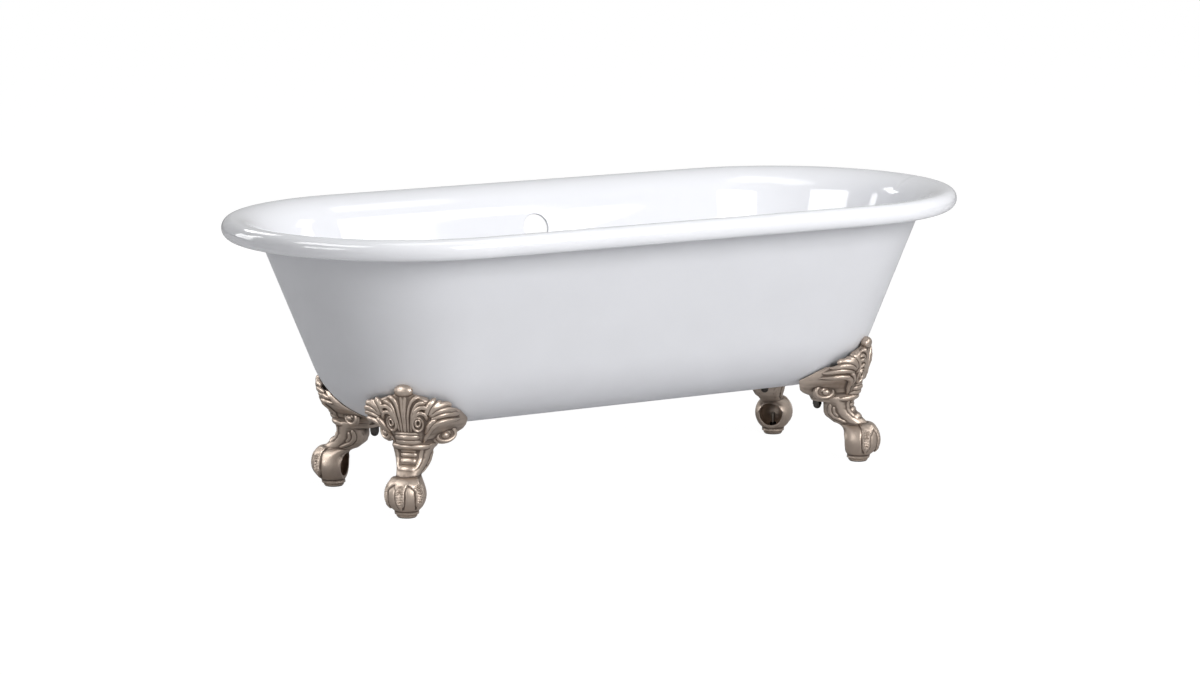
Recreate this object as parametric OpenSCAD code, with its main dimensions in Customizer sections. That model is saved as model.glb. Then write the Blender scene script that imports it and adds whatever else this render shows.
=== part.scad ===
// Double-ended roll-top bath on four ball-and-claw feet.
// Origin: on the floor under the middle of the tub. X runs along the tub, Y across it, Z up.
// The rear side (+Y) is the side with the overflow hole.

/* [Tub] */
// Overall length over the rolled rim
tub_length = 1744; // [1600:1:1900]
// Overall width over the rolled rim
tub_width = 800; // [760:1:900]
// Height of the rim above the floor
tub_height = 614.4; // [590:0.1:660]
// Thickness of the casting
wall = 8; // [6.5:0.5:10]
// Height of the underside of the belly above the floor
belly_height = 167; // [160:1:180]
// Radius that turns the walls into the floor, on the outside
belly_radius = 193; // [160:1:215]
// Lean of the two ends from upright, in degrees
end_lean = 21.8; // [18:0.1:25]
// Lean of the two long sides from upright, in degrees
side_lean = 16.5; // [13:0.1:19]

/* [Rim] */
// Radius of the rolled lip
roll_radius = 21.7; // [18:0.1:25]
// Radius of the flare from the inner wall to the top of the rim
flare_radius = 74; // [60:1:80]
// Degrees by which the lip curls on past its lowest line
lip_curl = 20; // [0:1:30]

/* [Openings] */
// Diameter of the overflow hole
overflow_bore = 63.5; // [50:0.5:70]
// Height of the middle of the overflow hole
overflow_height = 516; // [480:1:530]
// Diameter of the waste hole
waste_bore = 52; // [45:0.5:60]
// Diameter of the cast seat round the waste hole
waste_seat = 90; // [80:1:100]
// Thickness of the waste seat under the belly
waste_seat_depth = 4; // [2:0.5:8]

/* [Feet] */
// Distance of a foot's middle from the end of the rim
foot_end_inset = 298.4; // [290:0.1:310]
// Distance of a foot's middle from the side of the rim
foot_side_inset = 221.4; // [215:0.1:228]
// Rise of the crest above the underside of the belly
crest_rise = 121; // [115:1:125]
// Radius of the ball
ball_radius = 43.4; // [41:0.1:45]
// Height of the middle of the ball
ball_height = 50; // [48:0.5:52]
// Thickness of the hollow castings of the feet
foot_wall = 4; // [3:0.5:5]
// Air left between the crest and the belly
crest_gap = 4; // [3:0.5:6]
// Radius of the round base under the ball
base_radius = 26; // [25:0.5:28]
// Radius of the opening in the back of the ball
ball_opening = 25; // [20:0.5:27]

/* [Fasteners] */
// Diameter of the studs that hold the feet
stud_d = 12; // [10:1:14]
// Thickness of the foot's mounting plate
plate_thickness = 8; // [6:0.5:10]
// Distance of the stud behind the middle of the foot
stud_setback = 96; // [95:0.5:97]
// Diameter of the lugs cast under the belly
lug_d = 28; // [24:1:29]
// Depth to which the stud is screwed into the lug
stud_depth = 22; // [14:1:24]
// Outer diameter of the washers
washer_d = 24; // [23:0.5:25]
// Thickness of the washers
washer_thickness = 2.5; // [2:0.1:3]
// Width across the flats of the cap nuts
cap_nut_flats = 18; // [17:0.5:19]
// Height of the cap nuts
cap_nut_height = 22; // [20:0.5:24]

/* [Levellers] */
// Diameter of the levelling screws
leveller_d = 8; // [6:0.5:10]
// Height of the top of a levelling screw, turned right in
leveller_top = 50; // [46:1:56]
// Outer diameter of the threaded bushes
bush_d = 16; // [14:0.5:18]
// Diameter of the boss round a bush
bush_boss_d = 30; // [24:1:32]
// Height of the top of that boss
bush_boss_top = 20; // [18:0.5:22]
// Width across the flats of the lock nuts
lock_nut_flats = 13; // [12:0.5:16]
// Thickness of the lock nuts
lock_nut_height = 6.5; // [5:0.5:8]
// Diameter of the glides
glide_d = 44; // [38:0.5:50]
// Height of the glides, soles included
glide_height = 7; // [6:0.5:8]
// Thickness of the part of the sole below the glide's cup
sole_thickness = 1.5; // [1:0.5:2]
// Width of the raised edge of the cup round the sole
cup_edge = 2.5; // [2:0.5:4]

/* [Fit] */
// Running clearance round a screw, on the radius
running_clearance = 0.05; // [0.02:0.01:0.1]
// Clearance round a fastener that only passes through, on the radius
free_clearance = 0.5; // [0.3:0.1:1]
// Air between a glide and the base above it
seat_clearance = 0.3; // [0.2:0.1:0.5]

/* [Hidden] */
CORNERS = ["front_left", "front_right", "rear_left", "rear_right"];

enamel_white = [0.95, 0.95, 0.95];
satin_nickel = [0.58, 0.54, 0.50];
dark_steel = [0.25, 0.25, 0.26];
brass_tone = [0.72, 0.58, 0.32];
sole_grey = [0.35, 0.35, 0.36];

// How far a cutting solid runs past what it cuts
overrun = 5;
round_fn = 64;

// Rows and sectors of the tub's surface
arc_sectors = 10;
belly_rows = 7;
flare_rows = 6;
lip_rows = 4;
half_roll_rows = 5;

// A profile point is [distance from the tub's middle, height]. The same code draws the profile
// of the ends (reach = half the length) and of the long sides (reach = half the width).
roll_middle = tub_height - roll_radius;
flare_middle = tub_height - flare_radius;
function flare_reach(reach) = reach - roll_radius;

// The straight wall at height z, moved out by grow from the outer surface
function wall_reach(reach, lean, z, grow) =
    flare_reach(reach) - (flare_radius - wall - grow) / cos(lean) + (z - flare_middle) * tan(lean);
function belly_middle(reach, lean) =
    wall_reach(reach, lean, belly_height + belly_radius, 0) - belly_radius / cos(lean);

// Outer surface of the tub at height z, moved out by grow: the belly's arc, then the wall
function outer_reach(reach, lean, z, grow) =
    let (drop = belly_height + belly_radius - z, r = belly_radius + grow)
    drop > r * sin(lean)
        ? belly_middle(reach, lean) + sqrt(max(r * r - drop * drop, 0))
        : wall_reach(reach, lean, z, grow);

function arc_points(middle, height, r, from, to, rows) =
    [for (i = [0:rows])
        let (t = from + (to - from) * i / rows)
        [middle + r * cos(t), height + r * sin(t)]];
function rest(points) = [for (i = [1:len(points) - 1]) points[i]];

// From the underside out and up, round the lip, over the rim and down the inside to the floor
function tub_profile(reach, lean) =
    let (belly = belly_middle(reach, lean), flare = flare_reach(reach), up = belly_height + belly_radius,
         inner_lip = roll_radius - wall, end_angle = -90 - lip_curl)
    concat(arc_points(belly, up, belly_radius, -90, -lean, belly_rows),
           arc_points(flare, flare_middle, flare_radius - wall, 180 - lean, 90, flare_rows),
           rest(arc_points(flare, roll_middle, inner_lip, 90, end_angle, lip_rows)),
           arc_points(flare, roll_middle, roll_radius, end_angle, 0, half_roll_rows),
           rest(arc_points(flare, roll_middle, roll_radius, 0, 90, half_roll_rows)),
           rest(arc_points(flare, flare_middle, flare_radius, 90, 180 - lean, flare_rows)),
           arc_points(belly, up, belly_radius - wall, -lean, -90, belly_rows));

// A level ring round the tub: straight sides and round ends, with heights eased from end to side
function tub_ring(end_point, side_point) =
    [for (q = [0:3]) for (i = [0:arc_sectors])
        let (t = 90 * (q + i / arc_sectors), sx = (q == 0 || q == 3) ? 1 : -1, across = sin(t) * sin(t))
        [sx * (end_point[0] - side_point[0]) + side_point[0] * cos(t),
         side_point[0] * sin(t),
         end_point[1] * (1 - across) + side_point[1] * across]];

// Closed solid through rings of points, counter-clockwise from above, with a point at each end
module loft(rings, first, last) {
    n = len(rings[0]);
    m = len(rings);
    polyhedron(
        points = concat([first], [for (ring = rings) for (p = ring) p], [last]),
        faces = concat(
            [for (k = [0:n - 1]) [0, 1 + k, 1 + (k + 1) % n]],
            [for (i = [0:m - 2]) for (k = [0:n - 1])
                let (a = 1 + i * n + k, b = 1 + i * n + (k + 1) % n)
                each [[a, a + n, b + n], [a, b + n, b]]],
            [for (k = [0:n - 1])
                let (top = 1 + (m - 1) * n)
                [top + n, top + (k + 1) % n, top + k]]));
}

module casting() {
    end_profile = tub_profile(tub_length / 2, end_lean);
    side_profile = tub_profile(tub_width / 2, side_lean);
    loft([for (i = [0:len(end_profile) - 1]) tub_ring(end_profile[i], side_profile[i])],
         [0, 0, belly_height], [0, 0, belly_height + wall]);
}

// Closed solid that fills the belly up to the middle of its wall. The lugs stop against it.
core_top = belly_height + belly_radius / 2;
core_rows = 4;
module belly_core() {
    inset = -wall / 2;
    low = belly_height + wall / 2;
    heights = [for (i = [0:core_rows]) low + (core_top - low) * pow(i / core_rows, 2)];
    loft([for (z = heights) tub_ring([outer_reach(tub_length / 2, end_lean, z, inset), z],
                                     [outer_reach(tub_width / 2, side_lean, z, inset), z])],
         [0, 0, low], [0, 0, core_top]);
}

overflow_reach = outer_reach(tub_width / 2, side_lean, overflow_height, -wall / 2);
module tub_shell() {
    color(enamel_white)
    difference() {
        union() {
            casting();
            difference() {
                corners() at_foot() stud_column(lug_d, plate_top, core_top - wall);
                belly_core();
            }
            translate([0, 0, belly_height - waste_seat_depth])
                cylinder(d = waste_seat, h = waste_seat_depth + wall / 2, $fn = round_fn);
        }
        corners() at_foot() stud_column(stud_d + 2 * running_clearance, plate_top - overrun,
                                        plate_top + stud_depth + free_clearance);
        translate([0, 0, belly_height - waste_seat_depth - overrun])
            cylinder(d = waste_bore, h = waste_seat_depth + wall + 2 * overrun, $fn = round_fn);
        translate([0, overflow_reach, overflow_height]) rotate([-90 - side_lean, 0, 0])
            cylinder(d = overflow_bore, h = 4 * wall, center = true, $fn = round_fn);
    }
}

// Feet. A foot is drawn in its own frame: x out along the corner's diagonal, y across, z up,
// with its origin on the floor under the levelling screw.
foot_x = tub_length / 2 - foot_end_inset;
foot_y = tub_width / 2 - foot_side_inset;
foot_turn = 45;
foot_height = belly_height + crest_rise;
foot_bottom = glide_height + seat_clearance;
plate_top_share = 0.512;
plate_top = foot_height * plate_top_share;
plate_bottom = plate_top - plate_thickness;
ball_setout_share = 0.1;
ball_x = ball_radius * ball_setout_share;

module corners() {
    for (right = [0, 1]) for (rear = [0, 1]) to_corner(right, rear) children();
}

module to_corner(right, rear) {
    mirror([1 - right, 0, 0]) mirror([0, 1 - rear, 0]) children();
}

module at_foot() {
    translate([foot_x, foot_y, 0]) rotate([0, 0, foot_turn]) children();
}

module stud_column(d, from, to) {
    translate([-stud_setback, 0, from]) cylinder(d = d, h = to - from, $fn = round_fn);
}

// How far out the belly lies at width y and height z of the foot's frame, with the crest's gap.
// The belly's section there is a straight side that ends in an arc.
far_in = -foot_height;
function hug(y, z) =
    let (a = outer_reach(tub_length / 2, end_lean, z, crest_gap),
         b = outer_reach(tub_width / 2, side_lean, z, crest_gap),
         c = cos(foot_turn), s = sin(foot_turn),
         dx = a - b - foot_x, along = c * dx - s * foot_y, across = -s * dx - c * foot_y,
         flat = (b - foot_y - c * y) / s,
         room = b * b - (y - across) * (y - across))
    z < belly_height - crest_gap ? far_in
        : foot_x + c * flat - s * y < a - b ? flat
        : room > 0 ? along + sqrt(room) : far_in;

// Outline of the foot above the ball, in shares of its height:
// height, half width, front, widest line, back
foot_shares = [
    [0.306, 0.085, 0.073, -0.052, -0.174],
    [0.333, 0.094, 0.042, -0.087, -0.215],
    [0.358, 0.104, 0.019, -0.122, -0.257],
    [0.392, 0.118, -0.010, -0.146, -0.278],
    [0.427, 0.128, -0.027, -0.156, -0.278],
    [0.469, 0.142, -0.028, -0.167, -0.278],
    [0.480, 0.146, -0.024, -0.174, -0.283],
    [0.483, 0.148, -0.022, -0.180, -0.410],
    [0.507, 0.160, -0.012, -0.215, -0.410],
    [0.528, 0.174, 0.003, -0.278, -0.410],
    [0.549, 0.215, 0.017, -0.347, -0.410],
    [0.569, 0.264, 0.024, -0.382, -0.410],
    [0.597, 0.306, 0.030, -0.410, -0.410],
    [0.628, 0.330, 0.031, -0.410, -0.410],
    [0.663, 0.342, 0.045, -0.410, -0.410],
    [0.712, 0.344, 0.059, -0.410, -0.410],
    [0.760, 0.337, 0.076, -0.410, -0.410],
    [0.799, 0.330, 0.082, -0.410, -0.410],
    [0.826, 0.309, 0.083, -0.410, -0.410],
    [0.854, 0.271, 0.084, -0.410, -0.410],
    [0.878, 0.222, 0.086, -0.410, -0.410],
    [0.896, 0.153, 0.087, -0.410, -0.410],
    [0.910, 0.097, 0.089, -0.410, -0.410],
    [0.927, 0.076, 0.102, -0.410, -0.410],
    [0.955, 0.071, 0.101, -0.410, -0.410],
    [0.983, 0.059, 0.087, -0.410, -0.410],
    [1.000, 0.028, 0.077, -0.410, -0.410]];
function foot_size(z, column) =
    foot_height * lookup(z / foot_height, [for (s = foot_shares) [s[0], s[column]]]);

// Heights of the rows of points on the ball, in shares of its radius from its middle
ball_row_shares = [-0.88, -0.76, -0.62, -0.47, -0.3, -0.1, 0.1, 0.3, 0.48, 0.64, 0.78];
ball_rows = concat([foot_bottom], [for (s = ball_row_shares) ball_height + ball_radius * s]);
// Heights of the rows above the ball, in shares of the foot's height
shank_row_shares = [0.306, 0.333, 0.358, 0.392, 0.427, 0.465, 0.480, 0.484, 0.500, 0.512, 0.524, 0.536,
                    0.548, 0.560, 0.575, 0.597, 0.628, 0.663, 0.712, 0.760, 0.799, 0.826, 0.854, 0.878,
                    0.896, 0.910, 0.927, 0.955, 0.983, 1];
// Steps round a ring, in degrees from the foot's middle: over its front, then back behind it
front_steps = [-90, -78, -67, -57, -47, -37, -27, -18, -11, -5, 0,
               5, 11, 18, 27, 37, 47, 57, 67, 78, 90];
back_steps = [90, 62, 32, 0, -32, -62, -90];

// The back of the ball is cut off upright, and above its middle it leans in to meet the shank
cut_share = 0.6;
cut_x = -ball_radius * cut_share;
first_shank = foot_height * shank_row_shares[0];
function ball_reach(z) = sqrt(max(ball_radius * ball_radius - pow(z - ball_height, 2), 0));
function ball_back(z) =
    let (t = max(z - ball_height, 0) / (first_shank - ball_height))
    cut_x + (foot_size(first_shank, 4) - cut_x) * t * t;

// Three toes grip the front of the ball and end in talons. The knuckles are counted over one
// radius of the ball.
toe_angle = 57;
toe_spread = 13;
toe_rise_share = 0.09;
knuckles = 2;
knuckle_share = 0.4;
talon_rise_share = 0.2;
talon_line_share = -0.66;
talon_length_share = 0.34;
function toe_rise(h) =
    toe_rise_share * (h > talon_line_share ? 1 - knuckle_share * cos(360 * knuckles * h) : 0)
        + talon_rise_share * max(0, 1 - pow((h - talon_line_share) / talon_length_share, 2));
function toes(z, t) =
    ball_radius * toe_rise((z - ball_height) / ball_radius)
        * max([for (at = [-toe_angle, 0, toe_angle]) exp(-pow((t - at) / toe_spread, 2))]);

// Share of the half turn behind the ball that its back leaves clear of the front
seam_share = 0.06;
function ball_ring(z) =
    let (narrowest = z < ball_height ? base_radius : foot_size(first_shank, 1),
         w = max(ball_reach(z), narrowest),
         mid = ball_x * min(1, max(0, (z - foot_bottom) / base_radius)))
    concat([for (t = front_steps)
                let (r = w + toes(z, t))
                [mid + r * cos(t), r * sin(t), z]],
           [for (t = back_steps)
                let (a = t * (1 - seam_share))
                [max(ball_back(z), mid - w * cos(a)), w * sin(a), z]]);

// Raised work above the ball: three rings of the collar, then the fluted leaf in the middle
crest_edge_share = 0.017;
collar_shares = [0.496, 0.581];
collar_half_share = 0.09;
collar_rise_share = 0.016;
collar_rings = 3;
leaf_shares = [0.6, 0.915];
leaf_half_shares = [0.03, 0.08];
leaf_rise_share = 0.018;
leaf_flutes = 2.5;
flute_depth_share = 0.5;
function within(z, shares) = (z / foot_height - shares[0]) / (shares[1] - shares[0]);
function collar(z, y) =
    let (h = within(z, collar_shares))
    h < 0 || h > 1 || abs(y) > foot_height * collar_half_share ? 0
        : foot_height * collar_rise_share * (1 - cos(360 * collar_rings * h)) / 2;
function leaf(z, y) =
    let (h = within(z, leaf_shares),
         half = foot_height * (leaf_half_shares[0] + (leaf_half_shares[1] - leaf_half_shares[0]) * h))
    h < 0 || h > 1 || abs(y) > half ? 0
        : foot_height * leaf_rise_share
            * (1 - flute_depth_share * (1 - cos(360 * leaf_flutes * y / half)) / 2);

// One ring of the shank or crest. The front is an arc from the widest lines to the front line,
// and the back follows the belly or, below it, the back line.
function widest(z, w, side) = max(hug(side * w, z), foot_size(z, 3));
function shank_ring(z) =
    let (w = foot_size(z, 1), front = foot_size(z, 2), back = foot_size(z, 4),
         edge = foot_height * crest_edge_share)
    concat([for (t = front_steps)
                let (s = widest(z, w, sign(t)) + edge, y = w * sin(t), rise = collar(z, y) + leaf(z, y))
                [s + (front - s) * cos(t) + rise, y, z]],
           [for (t = back_steps)
                let (s = widest(z, w, sign(t)), y = w * sin(t))
                [max(hug(y, z), s + (back - s) * sqrt(abs(cos(t)))), y, z]]);

// The hollow behind the shank and crest, open towards the belly. Its floor is the plate's top.
floor_slope_share = 0.002;
cavity_row_shares = [0.36, 0.44, plate_top_share, plate_top_share + floor_slope_share,
                     0.56, 0.61, 0.67, 0.74, 0.80, 0.85, 0.885];
cavity_front_steps = [-90, -65, -40, -20, 0, 20, 40, 65, 90];
cavity_back_steps = [90, 45, 0, -45, -90];
cavity_low = foot_height * cavity_row_shares[0];
cavity_high = foot_height * cavity_row_shares[len(cavity_row_shares) - 1];
cavity_wall = 1.5 * foot_wall;
function cavity_ring(z) =
    let (w = foot_size(z, 1) - cavity_wall, front = foot_size(z, 2) - cavity_wall,
         back_height = z <= plate_top ? foot_height * cavity_row_shares[1] : z,
         back = foot_size(back_height, 4) + foot_wall)
    concat([for (t = cavity_front_steps)
                let (s = max(widest(z, w, sign(t)), back) + foot_wall)
                [s + (front - s) * cos(t), w * sin(t), z]],
           [for (t = cavity_back_steps)
                let (y = w * sin(t))
                [max(hug(y, z) - overrun, back), y, z]]);

// Scrolled knob on each flank of the crest
knob_shares = [-0.215, 0.257, 0.569];
knob_turn = 60;
knob_radius_share = 0.034;
knob_ring_share = 0.045;
knob_cord_share = 0.015;
module knobs() {
    for (side = [-1, 1])
        translate([for (i = [0:2]) foot_height * knob_shares[i] * (i == 1 ? side : 1)])
            rotate([0, 0, side * knob_turn]) rotate([0, 90, 0]) {
                sphere(r = foot_height * knob_radius_share, $fn = round_fn);
                rotate_extrude($fn = round_fn)
                    translate([foot_height * knob_ring_share, 0])
                        circle(r = foot_height * knob_cord_share, $fn = round_fn);
            }
}

module foot() {
    ball_hollow = ball_radius - foot_wall;
    top_middle = (foot_size(foot_height, 2) + hug(0, foot_height)) / 2;
    color(satin_nickel)
    difference() {
        union() {
            difference() {
                union() {
                    loft(concat([for (z = ball_rows) ball_ring(z)],
                                [for (s = shank_row_shares) shank_ring(foot_height * s)]),
                         [0, 0, foot_bottom], [top_middle, 0, foot_height]);
                    knobs();
                }
                loft([for (s = cavity_row_shares) cavity_ring(foot_height * s)],
                     [foot_size(cavity_low, 3), 0, cavity_low], [hug(0, cavity_high), 0, cavity_high]);
                translate([ball_x, 0, ball_height]) sphere(r = ball_hollow, $fn = round_fn);
                translate([cut_x, 0, ball_height]) rotate([0, -90, 0])
                    cylinder(r = ball_opening, h = ball_radius, center = true, $fn = round_fn);
            }
            translate([0, 0, foot_bottom])
                cylinder(d = bush_boss_d, h = bush_boss_top - foot_bottom, $fn = round_fn);
        }
        translate([0, 0, foot_bottom - overrun])
            cylinder(d = bush_d, h = bush_boss_top - foot_bottom + 2 * overrun, $fn = round_fn);
        stud_column(stud_d + 2 * free_clearance, plate_bottom - overrun, plate_top + overrun);
        stud_column(washer_d + 2 * free_clearance, plate_bottom - overrun, plate_bottom);
        stud_column(lug_d + 2 * free_clearance, plate_top, foot_height);
    }
}

// Fasteners of one corner
// Share of the cap nut's height that the stud reaches into it
stud_reach_share = 0.7;
stud_bottom = plate_bottom - washer_thickness - cap_nut_height * stud_reach_share;
module foot_stud() {
    color(dark_steel) stud_column(stud_d, stud_bottom, plate_top + stud_depth);
}

module foot_washer() {
    color(dark_steel)
    difference() {
        stud_column(washer_d, plate_bottom - washer_thickness, plate_bottom);
        stud_column(stud_d + 2 * free_clearance, plate_bottom - washer_thickness - overrun,
                    plate_bottom + overrun);
    }
}

module hexagon(flats, height) {
    cylinder(d = flats / cos(30), h = height, $fn = 6);
}

cap_hex_share = 0.55;
module foot_cap_nut() {
    top = plate_bottom - washer_thickness;
    dome = cap_nut_flats / 2;
    color(dark_steel)
    difference() {
        translate([-stud_setback, 0, top - cap_nut_height]) {
            translate([0, 0, cap_nut_height * (1 - cap_hex_share)])
                hexagon(cap_nut_flats, cap_nut_height * cap_hex_share);
            intersection() {
                translate([0, 0, dome]) sphere(r = dome, $fn = round_fn);
                cylinder(r = dome, h = cap_nut_height * (1 - cap_hex_share / 2), $fn = round_fn);
            }
        }
        stud_column(stud_d + 2 * running_clearance, stud_bottom - running_clearance, top + overrun);
    }
}

// Levelling gear of one corner
module tube(outer, inner, height) {
    difference() {
        cylinder(d = outer, h = height, $fn = round_fn);
        translate([0, 0, -overrun]) cylinder(d = inner, h = height + 2 * overrun, $fn = round_fn);
    }
}

screw_bore = leveller_d + 2 * running_clearance;
module leveller_bush() {
    color(brass_tone)
    translate([0, 0, foot_bottom])
        tube(bush_d - 2 * running_clearance, screw_bore, bush_boss_top - foot_bottom);
}

module leveller_lock_nut() {
    color(dark_steel)
    translate([0, 0, bush_boss_top])
    difference() {
        hexagon(lock_nut_flats, lock_nut_height);
        translate([0, 0, -overrun])
            cylinder(d = screw_bore, h = lock_nut_height + 2 * overrun, $fn = round_fn);
    }
}

sole_inset_share = 0.3;
sole_top = sole_thickness + glide_height * sole_inset_share;
socket_share = 0.15;
socket_floor = sole_top + glide_height * socket_share;
slot_share = 0.2;
module leveller_screw() {
    slot = leveller_d * slot_share;
    color(dark_steel)
    difference() {
        translate([0, 0, socket_floor])
            cylinder(d = leveller_d, h = leveller_top - socket_floor, $fn = round_fn);
        translate([-leveller_d, -slot / 2, leveller_top - slot]) cube([2 * leveller_d, slot, 2 * slot]);
    }
}

cup_bevel_share = 0.2;
module glide_cup() {
    r = glide_d / 2;
    bevel = glide_height * cup_bevel_share;
    color(satin_nickel)
    rotate_extrude($fn = round_fn)
        polygon([[0, sole_top], [r - cup_edge, sole_top], [r - cup_edge, sole_thickness],
                 [r - bevel, sole_thickness], [r, sole_thickness + bevel], [r, glide_height - bevel],
                 [r - bevel, glide_height], [screw_bore / 2, glide_height], [screw_bore / 2, socket_floor],
                 [0, socket_floor]]);
}

module glide_sole() {
    color(sole_grey)
    cylinder(r = glide_d / 2 - cup_edge - running_clearance, h = sole_top, $fn = round_fn);
}

for (i = [0:3]) {
    right = i % 2;
    rear = floor(i / 2);
    to_corner(right, rear) at_foot() foot();
    to_corner(right, rear) at_foot() leveller_screw();
    to_corner(right, rear) at_foot() glide_cup();
    to_corner(right, rear) at_foot() glide_sole();
}
tub_shell();
corners() at_foot() foot_stud();  // foot_studs
corners() at_foot() foot_washer();  // foot_washers
corners() at_foot() foot_cap_nut();  // foot_cap_nuts
corners() at_foot() leveller_bush();  // leveller_bushes
corners() at_foot() leveller_lock_nut();  // leveller_lock_nuts
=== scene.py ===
"""A double-ended roll-top bath on ball-and-claw feet, dressed over its packed frame.

Everything is in metres, in the frame's own axes: X along the tub, Y towards the side with the
overflow hole, Z up from the floor.
"""

import bpy
import numpy as np
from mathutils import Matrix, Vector


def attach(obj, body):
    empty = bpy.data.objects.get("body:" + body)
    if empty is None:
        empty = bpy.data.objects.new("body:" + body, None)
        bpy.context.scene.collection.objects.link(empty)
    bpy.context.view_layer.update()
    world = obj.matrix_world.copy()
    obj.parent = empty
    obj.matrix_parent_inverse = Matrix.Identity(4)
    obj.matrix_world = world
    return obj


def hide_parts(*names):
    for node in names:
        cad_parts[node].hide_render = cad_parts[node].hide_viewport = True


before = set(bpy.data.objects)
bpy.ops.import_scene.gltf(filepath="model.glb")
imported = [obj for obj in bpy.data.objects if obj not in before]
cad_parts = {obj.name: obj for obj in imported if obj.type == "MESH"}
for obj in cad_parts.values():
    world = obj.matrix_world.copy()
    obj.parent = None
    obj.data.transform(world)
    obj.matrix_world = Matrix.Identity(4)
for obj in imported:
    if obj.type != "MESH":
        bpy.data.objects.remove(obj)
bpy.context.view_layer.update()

bl_info = {
    "name": "Roll-top bath",
    "version": (1, 0, 0),
    "blender": (4, 5, 0),
    "location": "View3D > Sidebar > Bath",
    "description": "Builds a roll-top bath on ball-and-claw feet over its frame",
    "category": "Add Mesh",
}

MM = 0.001
# Which way each corner lies from the middle of the tub, along X and Y
CORNERS = {"front_left": (-1, -1), "front_right": (1, -1), "rear_left": (-1, 1), "rear_right": (1, 1)}


def linear(colour):
    """Turns an sRGB hex colour into the linear one that shaders use."""
    s = np.array([int(colour[i:i + 2], 16) for i in (1, 3, 5)]) / 255
    return tuple(float(v) for v in np.where(s <= 0.04045, s / 12.92, ((s + 0.055) / 1.055) ** 2.4))


def number(name, words, default, **more):
    """A number that a user can change."""
    return bpy.props.FloatProperty(name=name, description=words, default=default, **more)


def length(name, words, metres):
    return number(name, words, metres, unit="LENGTH", precision=4)


def angle(name, words, degrees):
    return number(name, words, float(np.radians(degrees)), subtype="ANGLE")


def power(name, words, watts):
    return number(name, words, watts, unit="POWER")


def tint(name, words, colour):
    return bpy.props.FloatVectorProperty(name=name, description=words, default=linear(colour),
                                         subtype="COLOR", min=0, max=1)


class BathTub(bpy.types.PropertyGroup):
    """Sizes of the tub"""
    length: length("Length", "Overall length over the rolled rim", 1.744)
    width: length("Width", "Overall width over the rolled rim", 0.8)
    height: length("Height", "Height of the rim above the floor", 0.6144)
    wall: length("Wall", "Thickness of the casting", 0.008)
    belly_height: length("Belly height", "Height of the underside above the floor", 0.167)
    belly_radius: length("Belly radius", "Radius that turns the walls into the floor", 0.193)
    end_lean: angle("End lean", "Lean of the two ends from upright", 21.8)
    side_lean: angle("Side lean", "Lean of the two long sides from upright", 16.5)
    roll_radius: length("Roll radius", "Radius of the rolled lip", 0.0217)
    flare_radius: length("Flare radius", "Radius from the inner wall to the top of the rim", 0.074)
    lip_curl: angle("Lip curl", "How far the lip curls on past its lowest line", 20)
    overflow_bore: length("Overflow bore", "Diameter of the overflow hole", 0.0635)
    overflow_height: length("Overflow height", "Height of the middle of the overflow hole", 0.516)
    waste_bore: length("Waste bore", "Diameter of the waste hole", 0.052)
    waste_seat: length("Waste seat", "Diameter of the seat round the waste hole", 0.09)
    seat_depth: length("Seat depth", "Thickness of the waste seat under the belly", 0.004)
    lug: length("Lug", "Diameter of the lugs that take the foot studs", 0.028)
    hole_edge: length("Hole edge", "Radius to which enamel rounds the edges of the holes", 0.0016)


class BathFeet(bpy.types.PropertyGroup):
    """Sizes of the feet"""
    end_inset: length("End inset", "Distance of a foot's middle from the end of the rim", 0.2984)
    side_inset: length("Side inset", "Distance of a foot's middle from the side of the rim", 0.2214)
    crest_rise: length("Crest rise", "Rise of the crest above the belly's underside", 0.121)
    ball_radius: length("Ball radius", "Radius of the ball", 0.0434)
    ball_height: length("Ball height", "Height of the middle of the ball", 0.05)
    casting: length("Casting", "Thickness of the hollow casting", 0.004)
    crest_gap: length("Crest gap", "Air between the crest and the belly", 0.004)
    base_radius: length("Base radius", "Radius of the round base under the ball", 0.026)
    base_height: length("Base height", "Height of the underside of the base", 0.0073)
    opening: length("Opening", "Radius of the opening in the back of the ball", 0.0268)
    stud_setback: length("Stud setback", "Distance of the stud behind the middle of the foot", 0.096)
    stud_hole: length("Stud hole", "Diameter of the hole for the stud", 0.013)
    spot_face: length("Spot face", "Diameter of the flat face for the washer", 0.025)
    plate: length("Plate", "Thickness of the mounting plate", 0.008)
    bush: length("Bush", "Diameter of the threaded bush", 0.016)
    boss: length("Boss", "Diameter of the boss round the bush", 0.03)
    boss_top: length("Boss top", "Height of the top of the boss", 0.02)
    skin: length("Skin", "Fineness of the even mesh that melts the carving into one casting", 0.0009)
    triangles: bpy.props.IntProperty(name="Triangles", description="Most triangles in one foot's skin",
                                     default=192000)
    relief: number("Relief", "How far the carving stands out", 0.78, min=0, max=2)


class BathFinish(bpy.types.PropertyGroup):
    """Colours of the bath"""
    enamel: tint("Enamel", "Vitreous enamel inside and over the roll", "#F3F4F8")
    paint: tint("Paint", "Satin paint on the outside of the casting", "#DFE0E4")
    nickel: tint("Nickel", "Satin nickel plate on what stands out of the feet", "#BEAFA2")
    # Partly the dulled plate in the feet's hollows and partly painted shade there
    hollow_patina_and_shade: tint("Recess", "Dulled nickel in the hollows of the feet", "#766A61")
    steel: tint("Steel", "Dull zinc plate on studs, washers and nuts", "#55524F")
    screw: tint("Screw", "Zinc plate on the levelling screws, seen in the open balls", "#A39A90")
    brass: tint("Brass", "Turned brass of the threaded bushes", "#B8955A")
    rubber: tint("Rubber", "Moulded soles of the glides", "#2B2B2D")
    floor: tint("Floor", "Matt floor, as the light that it throws back is coloured", "#DCDCDD")


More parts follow.
